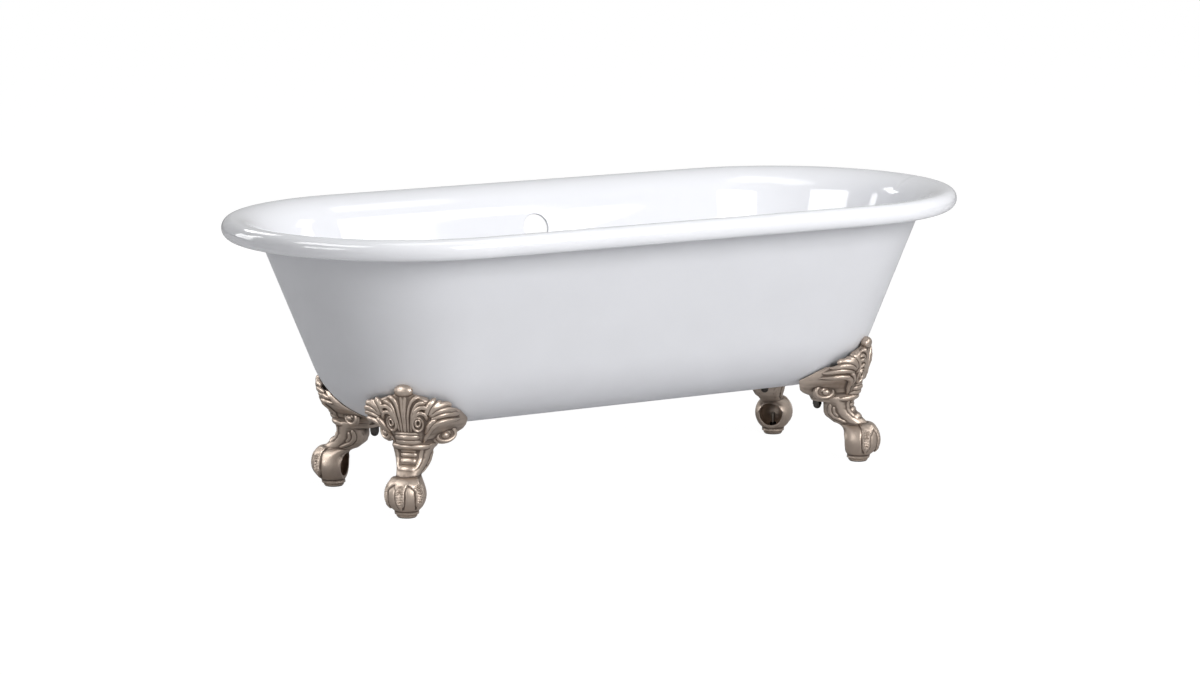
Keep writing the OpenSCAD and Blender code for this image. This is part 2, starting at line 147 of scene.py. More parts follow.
class BathStage(bpy.types.PropertyGroup):
    """Camera and light"""
    azimuth: angle("Azimuth", "Where the camera stands round the bath", -29.92)
    elevation: angle("Elevation", "How high the camera looks down from", 9.97)
    distance: length("Distance", "From the camera to the middle of the bath", 7.564)
    aim_x: length("Aim X", "Where the camera aims along the tub", -0.00095)
    aim_height: length("Aim height", "Height at which the camera aims", 0.30642)
    lens: number("Lens", "Focal length on a 36 mm sensor", 102.117, subtype="DISTANCE_CAMERA")
    room: number("Room light", "Strength of the even light all round", 0.275)
    mirrored: number("Mirrored room", "Strength of the room as gloss mirrors it", 0.45)
    key: power("Front light", "Power of the large soft lamp in front", 226)
    fill: power("Fill light", "Power of the low lamp at the left", 9)
    behind: power("Back light", "Power of the lamp behind the left end", 34)
    over: power("Top light", "Power of the soft lamp overhead", 38)
    glint: power("Glints", "Power of a square metre of the lamps that only gloss mirrors", 22)


# ---- Meshes ----

def joined(*parts):
    """Numbers, rows or grids, widened to one shape and laid side by side along a last axis."""
    return np.stack(np.broadcast_arrays(*parts), -1)


def normalised(vectors):
    """Vectors divided by their own length."""
    return vectors / np.linalg.norm(vectors, axis=-1, keepdims=True)


class Form:
    """Closed skins: their points, their faces with a kind of material for each and, once they
    are melted into one, the relief, which says how far each point stands out."""

    def __init__(self):
        self.points, self.faces, self.kinds, self.count, self.relief = [], [], [], 0, None

    def rings(self, points, kind=0, looped=False):
        """Adds a closed skin through rings of points, counter-clockwise as seen from where the
        rows lead. It has a flat face at each end, or its last ring joins the first. The kind is
        one for the whole skin or one for each band between two rings."""
        rows, columns = points.shape[:2]
        a = self.count + np.arange(rows * columns).reshape(rows, columns)
        b = np.roll(a, -1, 1)
        quads = np.stack([a, b, np.roll(b, -1, 0), np.roll(a, -1, 0)], -1)[:rows if looped else -1]
        kinds = np.broadcast_to(kind, (len(quads),))
        self.points.append(points.reshape(-1, 3))
        self.faces += quads.reshape(-1, 4).tolist()
        self.kinds += np.repeat(kinds, columns).tolist()
        if not looped:
            self.faces += [a[0, ::-1].tolist(), a[-1].tolist()]
            self.kinds += [int(kinds[0]), int(kinds[-1])]
        self.count += rows * columns
        return self

    def make(self, name, materials, sharp=40, flip=False):
        """Puts the form into a new mesh object. Mirrored points need their faces flipped."""
        mesh = bpy.data.meshes.new(name)
        faces = [f[::-1] for f in self.faces] if flip else self.faces
        mesh.from_pydata(np.concatenate(self.points).tolist(), [], faces)
        if self.relief is not None:
            layer = mesh.attributes.new("relief", "FLOAT", "POINT")
            layer.data.foreach_set("value", self.relief.astype(np.float32))
        for m in materials:
            mesh.materials.append(m)
        mesh.polygons.foreach_set("material_index", np.array(self.kinds, np.int32))
        mesh.shade_smooth()
        mesh.set_sharp_from_angle(angle=float(np.radians(sharp)))
        mesh.update()
        piece = bpy.data.objects.new(name, mesh)
        bpy.context.scene.collection.objects.link(piece)
        return piece


def read_back(piece):
    """The form of an object as its modifiers leave it."""
    seen = piece.evaluated_get(bpy.context.evaluated_depsgraph_get()).to_mesh()
    form = Form()
    form.count = len(seen.vertices)
    points, kinds = np.zeros(form.count * 3), np.zeros(len(seen.polygons), np.int32)
    seen.vertices.foreach_get("co", points)
    seen.polygons.foreach_get("material_index", kinds)
    form.points, form.kinds = [points.reshape(-1, 3)], kinds.tolist()
    form.faces = [list(p.vertices) for p in seen.polygons]
    if "relief" in seen.attributes:
        form.relief = np.zeros(form.count)
        seen.attributes["relief"].data.foreach_get("value", form.relief)
    return form


def modified(form, kind, **more):
    """A form as one modifier leaves it."""
    piece = form.make("unfinished", [])
    modifier = piece.modifiers.new(kind, kind)
    for name, value in more.items():
        setattr(modifier, name, value)
    form = read_back(piece)
    bpy.data.objects.remove(piece)
    return form


def cut(piece, cutters):
    """Cuts closed forms out of a piece for good and gives back the form that is left."""
    made = [c.make("cutter_%d" % i, list(piece.data.materials)) for i, c in enumerate(cutters)]
    for c in made:
        m = piece.modifiers.new(c.name, "BOOLEAN")
        m.operation, m.solver, m.object = "DIFFERENCE", "EXACT", c
    bpy.context.view_layer.update()
    form = read_back(piece)
    for gone in made + [piece]:
        bpy.data.objects.remove(gone)
    return form


def eased(points, links, times, share=1.0):
    """Points moved, so many times, a share of the way to the middle of their neighbours."""
    a, b = links.T
    count = len(points)
    near = np.bincount(a, minlength=count) + np.bincount(b, minlength=count)
    for _ in range(times):
        middle = np.stack([np.bincount(a, points[b, k], count) + np.bincount(b, points[a, k], count)
                           for k in range(3)], -1) / near[:, None]
        points = points + share * (middle - points)
    return points


# Shares by which the melted skin is eased and, so that it doesn't shrink, eased back
MELT_SHARES = (0.5, 0.6, -0.55, 0.6, -0.55)
# The relief of a level skin. It grows by one where a point stands out by so much from the mean
# of its neighbours, near ones after so many easings and far ones after so many more
LEVEL_RELIEF = 0.44
NEAR_EASINGS, NEAR_STAND = 12, 0.8 * MM
FAR_EASINGS, FAR_STAND = 60, 2.6 * MM


def cast_in_one(form, fine):
    """Melts overlapping closed forms into the single skin of a casting: a fine even mesh whose
    inner corners are filled and outer ones rounded. The relief of a point is how far it lies
    off the near and far means, along its normal."""
    skin = modified(form, "REMESH", mode="VOXEL", voxel_size=fine)
    points = skin.points[0]
    mesh = bpy.data.meshes.new("skin")
    mesh.from_pydata(points.tolist(), [], skin.faces)
    links = np.zeros(len(mesh.edges) * 2, np.int32)
    mesh.edges.foreach_get("vertices", links)
    links = links.reshape(-1, 2)
    for share in MELT_SHARES:
        points = eased(points, links, 1, share)
    mesh.vertices.foreach_set("co", points.ravel())
    mesh.update()
    normals = np.zeros(points.size)
    mesh.vertex_normals.foreach_get("vector", normals)
    normals = normals.reshape(-1, 3)
    bpy.data.meshes.remove(mesh)
    near = eased(points, links, NEAR_EASINGS)
    far = eased(near, links, FAR_EASINGS)
    off_near, off_far = (((points - mean) * normals).sum(-1) for mean in (near, far))
    skin.points = [points]
    # The satin nickel turns low relief towards the hollows' colour: partly dulled plate, partly painted
    # shade
    skin.relief = np.clip(LEVEL_RELIEF + off_near / NEAR_STAND + off_far / FAR_STAND, 0, 1)
    return skin


def revolve(profile, turns=96):
    """Rings of points: each point of the profile, a radius and a height, goes round the Z axis."""
    t = np.linspace(0, 2 * np.pi, turns, endpoint=False)
    r, z = np.asarray(profile, float).T[..., None]
    return joined(r * np.cos(t), r * np.sin(t), z)


def cylinder(diameter, low, high, turns=64):
    """The two rings of an upright cylinder."""
    return revolve([[diameter / 2, low], [diameter / 2, high]], turns)


def arc(middle, height, radius, start, end, steps):
    """Points on an arc about (middle, height) from one angle in radians to another."""
    t = np.linspace(start, end, steps + 1)
    return np.stack([middle + radius * np.cos(t), height + radius * np.sin(t)], -1)


# ---- The tub's surface ----

def wall_reach(tub, reach, lean, z, grow=0.0):
    """The straight wall at height z: the flare's tangent point, carried down along the lean."""
    return (reach - tub.roll_radius - (tub.flare_radius - tub.wall - grow) / np.cos(lean)
            + (z - tub.height + tub.flare_radius) * np.tan(lean))


def belly_middle(tub, reach, lean):
    """Distance of the centre of the belly's arc from the tub's middle."""
    level = tub.belly_height + tub.belly_radius
    return wall_reach(tub, reach, lean, level) - tub.belly_radius / np.cos(lean)


def outer_reach(tub, reach, lean, z, grow=0.0):
    """The outside at height z, moved out by grow: the belly's arc, then the straight wall."""
    drop = tub.belly_height + tub.belly_radius - z
    r = tub.belly_radius + grow
    belly = belly_middle(tub, reach, lean) + np.sqrt(np.maximum(r * r - drop * drop, 0))
    return np.where(drop > r * np.sin(lean), belly, wall_reach(tub, reach, lean, z, grow))


def tub_profile(tub, reach, lean):
    """The section of the casting: belly, wall, flare and lip outside, then the roll, the flare
    and the wall inside. Also gives the band at which the enamel begins, under the lip."""
    belly, flare = belly_middle(tub, reach, lean), reach - tub.roll_radius
    up, low = tub.belly_height + tub.belly_radius, tub.height - tub.flare_radius
    lip, end = tub.height - tub.roll_radius, -np.pi / 2 - tub.lip_curl
    outside = [arc(belly, up, tub.belly_radius, -np.pi / 2, -lean, 26),
               arc(flare, low, tub.flare_radius - tub.wall, np.pi - lean, np.pi / 2, 16),
               arc(flare, lip, tub.roll_radius - tub.wall, np.pi / 2, end, 18)[1:]]
    inside = [arc(flare, lip, tub.roll_radius, end, np.pi / 2, 40),
              arc(flare, low, tub.flare_radius, np.pi / 2, np.pi - lean, 20)[1:],
              arc(belly, up, tub.belly_radius - tub.wall, -lean, -np.pi / 2, 26)]
    return np.concatenate(outside + inside), sum(len(a) for a in outside) - 1


def tub_rings(ends, sides, steps=44):
    """Level rings: two half circles of the side's reach, moved apart so that the ends reach
    theirs. Heights ease from the end's to the side's with the square of the sine."""
    t = np.concatenate([np.linspace(q, q + np.pi / 2, steps + 1) for q in np.arange(4) * np.pi / 2])
    way = np.repeat([1, -1, -1, 1], steps + 1)
    a, b = ends[:, :1], sides[:, :1]
    z = ends[:, 1:] * np.cos(t) ** 2 + sides[:, 1:] * np.sin(t) ** 2
    return np.stack([way * (a - b) + b * np.cos(t), b * np.sin(t), z], -1)


def turned(points, tilt):
    """Points turned about the X axis."""
    c, s = np.cos(tilt), np.sin(tilt)
    return points @ np.array([[1, 0, 0], [0, c, s], [0, -s, c]])


def hole(radius, low, high, edge, past=0.02):
    """A cutter for a hole through a wall from low to high, its edges rounded by enamel. It
    starts and ends a little past the wall."""
    def flare(face, way):
        t = np.linspace(0, np.pi / 2, 7)
        return joined(radius + edge * (1 - np.cos(t)), face + way * (np.sin(t) * edge - edge))
    outer = radius + edge
    return revolve(np.concatenate([[[outer, low - past]], flare(low, -1)[::-1], flare(high, 1),
                                   [[outer, high + past]]]))


# ---- The foot's surface. Its own frame: out along the corner's diagonal, across, up ----

FOOT_TURN = np.pi / 4
# Height, half width, front line, widest line and back line, in shares of the foot's height
FOOT_SHARES = np.array([
    [0.306, 0.085, 0.073, -0.052, -0.200], [0.333, 0.094, 0.042, -0.087, -0.236],
    [0.358, 0.104, 0.015, -0.122, -0.268], [0.392, 0.118, -0.022, -0.146, -0.278],
    [0.427, 0.128, -0.045, -0.156, -0.278], [0.469, 0.142, -0.048, -0.167, -0.278],
    [0.480, 0.146, -0.042, -0.174, -0.283], [0.483, 0.148, -0.040, -0.180, -0.380],
    [0.507, 0.160, -0.020, -0.215, -0.388], [0.528, 0.174, -0.007, -0.278, -0.396],
    [0.549, 0.215, 0.005, -0.347, -0.405], [0.569, 0.264, 0.012, -0.382, -0.410],
    [0.597, 0.306, 0.018, -0.410, -0.410], [0.628, 0.330, 0.020, -0.410, -0.410],
    [0.663, 0.342, 0.032, -0.410, -0.410], [0.712, 0.344, 0.044, -0.410, -0.410],
    [0.760, 0.337, 0.060, -0.410, -0.410], [0.799, 0.330, 0.066, -0.410, -0.410],
    [0.826, 0.309, 0.067, -0.410, -0.410], [0.854, 0.271, 0.068, -0.410, -0.410],
    [0.878, 0.222, 0.070, -0.410, -0.410], [0.896, 0.153, 0.072, -0.410, -0.410],
    [0.910, 0.097, 0.074, -0.410, -0.410], [0.927, 0.058, 0.076, -0.410, -0.410],
    [0.955, 0.048, 0.076, -0.410, -0.410], [0.983, 0.042, 0.076, -0.410, -0.410],
    [1.000, 0.028, 0.070, -0.410, -0.410]])
HALF_WIDTH, FRONT, WIDEST, BACK = 1, 2, 3, 4
# Height in millimetres of the foot that the carving's numbers are drawn on
DRAWN_HEIGHT = 288
# How much further out the crest's rim lies than its widest line
CREST_EDGE_SHARE = 0.017
# Heights between which the crest is drawn in beside the collar, and the power of its bow there
DRAWN_IN_SHARES = [0.52, 0.56, 0.6, 0.68]
DRAWN_IN_POWER = 2.2
# The bare crest is narrower under its leaves: by how much, and the heights between which
UNDER_LEAVES_SHARE = 0.022
UNDER_LEAVES = [0.76, 0.80, 0.885, 0.905]
PLATE_TOP_SHARE = 0.512
SHANK_SHARE = 0.306
# In ball radii, how far the ball's middle stands in front of the foot's own middle and how far
# behind that the ball's back is cut off
BALL_SHIFT, BALL_CUT = 0.1, 0.6
# Where the ball's back begins to turn into the shank's, in metres, and how late it does so
NECK_START, NECK_POWER = 0.058, 1.3
# Bearings of the toes in degrees. Round each runs a groove in the shape of a blade: in metres
# the height of its middle over the ball's and its half length, in degrees its bearing from the
# toe at its tips and in its middle and how broad its line is, and its depth in ball radii
TOES = (-60, 0, 60)
BLADE_RISE, BLADE_REACH = 0.004, 0.034
BLADE_TIP, BLADE_WIDE, GROOVE_LINE = 5, 15.5, 3.0
GROOVE_DEPTH = 0.045


class Foot:
    """One foot's own surface, worked out from the sizes of the tub and the feet."""

    def __init__(self, tub, feet):
        self.tub, self.feet = tub, feet
        self.height = tub.belly_height + feet.crest_rise
        self.unit = self.height / DRAWN_HEIGHT
        self.x = tub.length / 2 - feet.end_inset
        self.y = tub.width / 2 - feet.side_inset
        self.plate_top = self.height * PLATE_TOP_SHARE
        self.ankle = self.height * SHANK_SHARE
        self.ball_middle = np.array([BALL_SHIFT * feet.ball_radius, 0, feet.ball_height])
        self.cut_x = -BALL_CUT * feet.ball_radius

    def size(self, z, column):
        """A size at height z, on straight lines between the rows of the foot's shares."""
        return self.height * np.interp(z / self.height, FOOT_SHARES[:, 0], FOOT_SHARES[:, column])

    def hug(self, y, z, gap=None):
        """How far out the belly lies at width y and height z, with the crest's gap: its section
        is a straight side that ends in an arc, seen along the corner's diagonal."""
        tub = self.tub
        gap = self.feet.crest_gap if gap is None else gap
        y, z = np.broadcast_arrays(np.asarray(y, float), np.asarray(z, float))
        a = outer_reach(tub, tub.length / 2, tub.end_lean, z, gap)
        b = outer_reach(tub, tub.width / 2, tub.side_lean, z, gap)
        c, s = np.cos(FOOT_TURN), np.sin(FOOT_TURN)
        dx = a - b - self.x
        along, across = c * dx - s * self.y, -s * dx - c * self.y
        flat = (b - self.y - c * y) / s
        room = b * b - (y - across) ** 2
        round_end = np.where(room > 0, along + np.sqrt(np.maximum(room, 0)), -self.height)
        reach = np.where(self.x + c * flat - s * y < a - b, flat, round_end)
        return np.where(z < tub.belly_height - gap, -self.height, reach)

    def widest(self, z, w, side):
        """The widest line: that of the shares, but never nearer the belly than the crest's gap."""
        return np.maximum(self.hug(side * w, z), self.size(z, WIDEST))

    def bow(self, z, cosine):
        """Bow of the front round a ring: a plain arc, drawn in towards the widest lines beside
        the collar, where the volutes stand out of a hollow."""
        bend = np.interp(z / self.height, DRAWN_IN_SHARES, [1, DRAWN_IN_POWER, DRAWN_IN_POWER, 1])
        return np.maximum(cosine, 0) ** bend

    def face(self, y, z):
        """The smooth front of shank and crest: an arc from the widest line to the front line.
        Beyond the outline it runs on sideways."""
        y, z = np.broadcast_arrays(np.asarray(y, float), np.asarray(z, float))
        w = self.size(z, HALF_WIDTH)
        s = self.widest(z, w, np.sign(y)) + self.height * CREST_EDGE_SHARE
        inside = np.clip(y / w, -0.985, 0.985)
        out = s + (self.size(z, FRONT) - s) * self.bow(z, np.sqrt(1 - inside ** 2))
        return np.stack([out, y, z], -1)

    def facing(self, y, z):
        """Unit normals of the smooth front, from its slopes in y and z."""
        d = 1.0 * MM
        across = self.face(y + d, z) - self.face(y - d, z)
        up = self.face(y, z + d) - self.face(y, z - d)
        return normalised(np.cross(across, up))

    def to_world(self, points, right, rear):
        """From the foot's frame to one corner of the tub: a turn, a shift and two mirrors."""
        c, s = np.cos(FOOT_TURN), np.sin(FOOT_TURN)
        x = self.x + c * points[..., 0] - s * points[..., 1]
        y = self.y + s * points[..., 0] + c * points[..., 1]
        return np.stack([x * right, y * rear, points[..., 2]], -1)

    def ball_reach(self, z):
        """Radius of the ball's circle at height z."""
        r = self.feet.ball_radius
        return np.sqrt(np.maximum(r * r - (z - self.feet.ball_height) ** 2, 0))

    def body(self):
        """The bare casting: rings round the ball, then round shank and crest. The angle t goes
        round a ring's front and u round its back."""
        t, u = np.radians(np.linspace(-90, 90, 105)), np.radians(np.linspace(90, -90, 45))
        return Form().rings(np.concatenate([self.ball_rings(t, u), self.upper_rings(t, u)]))

    def ball_rings(self, t, u):
        """Circles of the ball's reach, or of the base's where that is wider, sunk by the toes'
        grooves. A groove's bearing grows with the root of how far its height lies within the
        blade. The back is cut off upright, and above the ball's middle it turns little by
        little into the rounded flat of the shank's back."""
        feet = self.feet
        z = np.linspace(feet.base_height + 2 * MM, self.ankle - 2 * MM, 54)
        z = np.concatenate([[feet.base_height], z])[:, None]
        narrow = np.where(z < feet.ball_height, feet.base_radius, self.size(self.ankle, HALF_WIDTH))
        w = np.maximum(self.ball_reach(z), narrow)
        mid = self.ball_middle[0] * np.clip((z - feet.base_height) / feet.base_radius, 0, 1)
        rise = np.maximum(z - feet.ball_height, 0) / (self.ankle - feet.ball_height)
        back = self.cut_x + (self.size(self.ankle, BACK) - self.cut_x) * rise ** 2
        off = np.min([np.abs(np.degrees(t) - across) for across in TOES], axis=0)
        blade = np.clip(1 - np.abs(z - feet.ball_height - BLADE_RISE) / BLADE_REACH, 0, 1)
        edge = BLADE_TIP + (BLADE_WIDE - BLADE_TIP) * np.sqrt(blade)
        line = np.exp(-((off - edge) / GROOVE_LINE) ** 2)
        sunk = w * (1 - GROOVE_DEPTH * np.clip(3 * blade, 0, 1) * line)
        a = u * 0.94
        neck = np.clip((z - NECK_START) / (self.ankle - NECK_START), 0, 1) ** NECK_POWER
        behind = ((1 - neck) * np.maximum(back, mid - w * np.cos(a))
                  + neck * (mid + (back - mid) * np.sqrt(np.abs(np.cos(a)))))
        return np.concatenate([joined(mid + sunk * np.cos(t), sunk * np.sin(t), z),
                               joined(behind, w * np.sin(a), z)], 1)

    def upper_rings(self, t, u):
        """Rings of shank and crest: the front is an arc over the widest line, and the back lies
        flat on the shank and follows the belly behind the crest."""
        h = self.height
        z = np.concatenate([np.linspace(self.ankle, 0.480 * h, 34), np.linspace(0.483 * h, 0.93 * h, 90),
                            np.linspace(0.935 * h, 0.975 * h, 12)])[:, None]
        w, front, back = (self.size(z, k) for k in (HALF_WIDTH, FRONT, BACK))
        w = w - h * UNDER_LEAVES_SHARE * np.interp(z / h, UNDER_LEAVES, [0, 1, 1, 0])
        s = self.widest(z, w, np.sign(t)) + h * CREST_EDGE_SHARE
        face = joined(s + (front - s) * self.bow(z, np.cos(t)), w * np.sin(t), z)
        s, y = self.widest(z, w, np.sign(u)), w * np.sin(u)
        rear = np.maximum(self.hug(y, z), s + (back - s) * np.sqrt(np.abs(np.cos(u))))
        return np.concatenate([face, joined(rear, y, z)], 1)

    def hollow(self):
        """Cutters: the hollow behind shank and crest, the hollow ball and its round opening, the
        bush's hole, the stud's hole with its spot face, and a pocket for the lug."""
        feet, h, casting = self.feet, self.height, self.feet.casting
        t, u = np.radians(np.linspace(-90, 90, 41)), np.radians(np.linspace(90, -90, 21))
        z = h * np.concatenate([np.linspace(0.36, 0.5, 14), [PLATE_TOP_SHARE, PLATE_TOP_SHARE + 0.002],
                                np.linspace(0.52, 0.885, 50)])[:, None]
        w, front = (self.size(z, k) - 1.5 * casting for k in (HALF_WIDTH, FRONT))
        below = z <= self.plate_top
        back = self.size(np.where(below, np.minimum(z, 0.44 * h), z), BACK) + casting
        s = np.maximum(self.widest(z, w, np.sign(t)), back) + casting
        face = joined(s + (front - s) * self.bow(z, np.cos(t)), w * np.sin(t), z)
        y = w * np.sin(u)
        side = np.maximum(self.widest(z, w, np.sign(u)), back)
        rear = np.where(below, side + (back - side) * np.sqrt(np.abs(np.cos(u))),
                        np.maximum(self.hug(y, z) - 5 * MM, back))
        behind = np.concatenate([face, joined(rear, y, z)], 1)
        e = np.linspace(-np.pi / 2, np.pi / 2, 41)[1:-1]
        ball = revolve((feet.ball_radius - casting) * joined(np.cos(e), np.sin(e))) + self.ball_middle
        upright = cylinder(2 * feet.opening, -feet.ball_radius / 2, feet.ball_radius / 2, 96)
        x, y, z = np.moveaxis(upright, -1, 0)
        opening = joined(self.cut_x - z, y, feet.ball_height + x)
        seat = self.plate_top - feet.plate
        bush = cylinder(feet.bush, 0, feet.boss_top, 48)
        stud = self.at_stud(cylinder(feet.stud_hole, seat - 3 * MM, self.plate_top + 3 * MM, 48))
        spot = self.at_stud(cylinder(feet.spot_face, seat - 4 * MM, seat))
        pocket = self.at_stud(cylinder(self.tub.lug + MM, self.plate_top, h))
        return [Form().rings(points) for points in (behind, ball, opening, bush, stud, spot, pocket)]

    def at_stud(self, points):
        """Points moved back from the foot's middle to the stud's."""
        return points - np.array([self.feet.stud_setback, 0, 0])

    def boss(self):
        """The boss inside the ball that holds the threaded bush: a square section turned round."""
        feet, bevel = self.feet, 0.8 * MM
        inner, outer, low, top = feet.bush / 2, feet.boss / 2, feet.base_height, feet.boss_top
        return revolve([[inner, low], [outer, low], [outer, top - bevel], [outer - bevel, top],
                        [inner, top]], 64)

    def lug(self):
        """A lug cast under the belly: a round column whose upper ring lies in the middle of the
        belly's wall, found where the wall's middle crosses each point of the ring."""
        lug = self.at_stud(cylinder(self.tub.lug, self.plate_top, self.plate_top))
        x, y, _ = lug[1].T
        z = self.tub.belly_height + np.linspace(0, self.tub.belly_radius / 2, 200)
        reach = self.hug(y[:, None], z, -self.tub.wall / 2)
        after = np.sum(reach < x[:, None], 1)
        near, far = (reach[np.arange(len(x)), k] for k in (after - 1, after))
        lug[1, :, 2] = (z[after] - z[after - 1]) / (far - near) * (x - near) + z[after - 1]
        return lug


# ---- Carving: rolls of metal laid along paths on the foot's face ----

def smooth_path(points, steps):
    """A curve through the given rows of numbers: cubic pieces whose slope at each row is half
    the step between its neighbours. It is then spaced out evenly along its first two columns."""
    p = np.asarray(points, float)
    p = np.vstack([2 * p[0] - p[1], p, 2 * p[-1] - p[-2]])
    s = np.linspace(0, len(p) - 3, 400)
    i = np.minimum(s.astype(int), len(p) - 4)
    f = (s - i)[:, None]
    a, b, c, d = p[i], p[i + 1], p[i + 2], p[i + 3]
    q = 0.5 * (2 * b + (c - a) * f + (2 * a - 5 * b + 4 * c - d) * f ** 2
               + (3 * b - a - 3 * c + d) * f ** 3)
    run = np.concatenate([[0], np.cumsum(np.hypot(*np.diff(q[:, :2], axis=0).T))])
    even = np.linspace(0, run[-1], steps)
    return np.stack([np.interp(even, run, q[:, k]) for k in range(q.shape[1])], -1)


def swept(centre, along, normal, half, rise, around=18, groove=0.0, ripples=1.0):
    """A roll along a path: each section is an oval of the half width along the surface and the
    rise off it. A groove sinks its crown, and ripples raise and lower it along the way."""
    along = normalised(along)
    side = normalised(np.cross(along, normal))
    lift = np.cross(side, along)
    f = np.linspace(0, 2 * np.pi, around, endpoint=False)
    crown = np.sin(f) * (1 - groove * np.exp(-(np.cos(f) / 0.3) ** 2) * (np.sin(f) > 0))
    crown = crown * np.where(np.sin(f) > 0, np.reshape(ripples, (-1, 1)), 1)
    return (centre[:, None] - side[:, None] * (half[:, None, None] * np.cos(f)[None, :, None])
            + lift[:, None] * (rise[:, None] * crown)[..., None])


def end_shares(steps, share=0.16):
    """Shares that round off both ends of a roll: a quarter of a circle over each end."""
    s = np.linspace(0, 1, steps)
    near = np.clip(np.minimum(s, 1 - s) / share, 0, 1)
    return np.sqrt(np.clip(1 - (1 - near) ** 2, 0.0004, 1))


# Rolls of one half of the crest: rows of width across, height, half width and rise, in
# millimetres, as they lie on a foot of the drawn height. The other half mirrors them.
MIDDLE_FLUTES = [
    ([(0, 266, 9.0, 3.0), (0, 245, 7.0, 3.6), (0, 215, 5.0, 3.4), (0, 182, 3.6, 3.0)], 0.45),
    ([(7, 182, 2.2, 3.6), (8.5, 209, 2.6, 5.0), (12, 234, 3.2, 6.2), (18, 251, 4.0, 7.5),
      (27, 259, 5.0, 8.0), (37, 258, 4.6, 6.0)], 0.25),
    ([(12.5, 184, 2.2, 3.4), (15.5, 208, 2.6, 4.8), (20.5, 230, 3.2, 6.0), (29, 245, 3.8, 7.0),
      (38, 249, 4.4, 7.0), (46, 246, 3.6, 5.0)], 0.25),
]
# The domed cap over the crest: height of its middle and its half sizes across, up and out
CAP = (273.0, 21.0, 13.5, 13.0)
CREST_ROLLS = [
    # two arches over the eye
    ([(16, 193, 2.6, 5), (19.5, 213, 3.4, 7), (26, 231, 4.4, 9), (36, 239, 5.0, 10), (47, 237, 4.8, 9),
      (53, 228, 3.6, 6)], 0.2),
    ([(20, 208, 2.4, 5), (26, 222, 3.6, 8), (35, 228, 4.6, 10), (44, 223, 4.2, 9),
      (47, 210, 3.0, 6)], 0.2),
    # the upper lobe in two folds
    ([(46, 220, 3.8, 6), (50, 236, 6.0, 8), (57, 248, 6.4, 8), (63, 256, 4.0, 6)], 0.12),
    ([(51, 220, 3.8, 6), (59, 234, 6.0, 8), (68, 245, 5.8, 7.5), (73, 250, 3.6, 5)], 0.12),
    # the outer lobe in three folds
    ([(51, 222, 3.6, 6), (63, 236, 6.2, 8.5), (78, 242, 6.6, 8.5), (91, 238, 4.6, 6)], 0.1),
    ([(52, 218, 3.6, 6), (67, 228, 5.8, 8.5), (83, 231, 6.2, 8.5), (95, 226, 4.6, 6)], 0.1),
    ([(54, 213, 3.4, 6), (72, 219, 5.4, 8.5), (87, 219.5, 5.8, 8), (97, 214, 4.0, 6)], 0.1),
    # the small leaf in the fork between the eye and the outer lobe
    ([(37, 178, 2.8, 6), (45, 194, 4.6, 10), (55, 208, 5.0, 12), (64, 212, 3.4, 9)], 0.25),
    # the broad leaf that runs up from the collar and over the scroll
    ([(30, 156, 3.5, 6), (41, 178, 5.6, 9), (54, 196, 6.8, 11), (69, 205, 6.8, 12), (84, 206, 6.0, 11),
      (96, 203, 4.2, 8)], 0.2),
]
# Rings across the collar and the shank: height, half width, half height and rise
COLLAR_RINGS = [(179.5, 26, 2.6, 2.6), (171, 27, 5.4, 4.6), (160, 29, 5.6, 3.6), (148.5, 43, 5.8, 5.6)]
SHANK_RINGS = [(139, 17, 3.6, 2.4), (130.5, 17.5, 4.6, 3.4), (119.5, 17, 5.6, 4.0),
               (105.5, 20, 7.0, 3.6)]
FLANK_ROLLS = [
    ([(29, 146, 4.0, 4), (26, 134, 4.4, 4.6), (24, 118, 4.2, 4.2), (19, 102, 3.2, 3)], 0.2),
]
# Leaves on each flank of the shank: rows of how far back along the flank, height, half width
# and rise
FLANK_LEAVES = [
    ([(0.70, 128, 3.5, 3), (0.78, 119, 6.0, 5.5), (0.78, 109, 6.0, 5.5), (0.70, 99, 3.5, 3)], 0.1),
    ([(0.30, 134, 3.5, 3), (0.45, 121, 5.0, 4.5), (0.42, 108, 5.0, 5.0), (0.25, 96, 4.0, 4.0),
      (0.1, 91, 2.5, 2.5)], 0.3),
    ([(0.10, 128, 3.0, 2.5), (0.18, 116, 3.6, 3.5), (0.12, 104, 3.2, 3.0)], 0.2),
]
# The scroll at each end of the crest, in degrees and the drawn foot's millimetres: its middle,
# the way it faces, the half sizes of its outer turn along the wing and up, the bearing from
# which it makes so many coils and the share by which they shrink, the half width of its roll
# and how much of it goes, how far the roll climbs, the boss's margin and rise, and the knob's
# half sizes
SCROLL = {"middle": (-66, 62, 167), "turn": 48, "wide": 30, "tall": 18, "start": 115, "coils": 1.3,
          "shrink": 0.62, "half": 5.4, "thinner": 2.6, "climb": 4, "margin": 2, "boss": 6,
          "knob": (10, 8, 9)}
# The two rings of an eye: middle, half sizes, half width and rise of the roll
EYES = [((28, 202), 10.0, 15.0, 2.8, 6.0), ((28.5, 205), 4.6, 7.0, 2.6, 7.0)]
# A toe's ends on the ball and its lean at the top, in degrees, the degrees from one rib to the
# next and how high a rib stands in the toe, and in ball radii the toe's half width at its tip,
# how much more it has at its root, and its rise
TOE_TOP, TOE_END, TOE_LEAN = 64, -30, 14
RIB_PITCH, RIB_SHARE = 4.3, 0.36
TOE_HALF, TOE_ROOT, TOE_RISE = 0.225, 0.16, 0.085
# A talon's ends on the ball in degrees and its half width in ball radii
TALON_TOP, TALON_END, TALON_HALF = -20, -42, 0.12


def tapered(foot, centre, normal, half, rise, groove):
    """A roll along points on the foot, rounded off at both ends."""
    taper = end_shares(len(centre))
    return swept(centre, np.gradient(centre, axis=0), normalised(normal), half * taper,
                 rise * taper * foot.feet.relief, groove=groove)


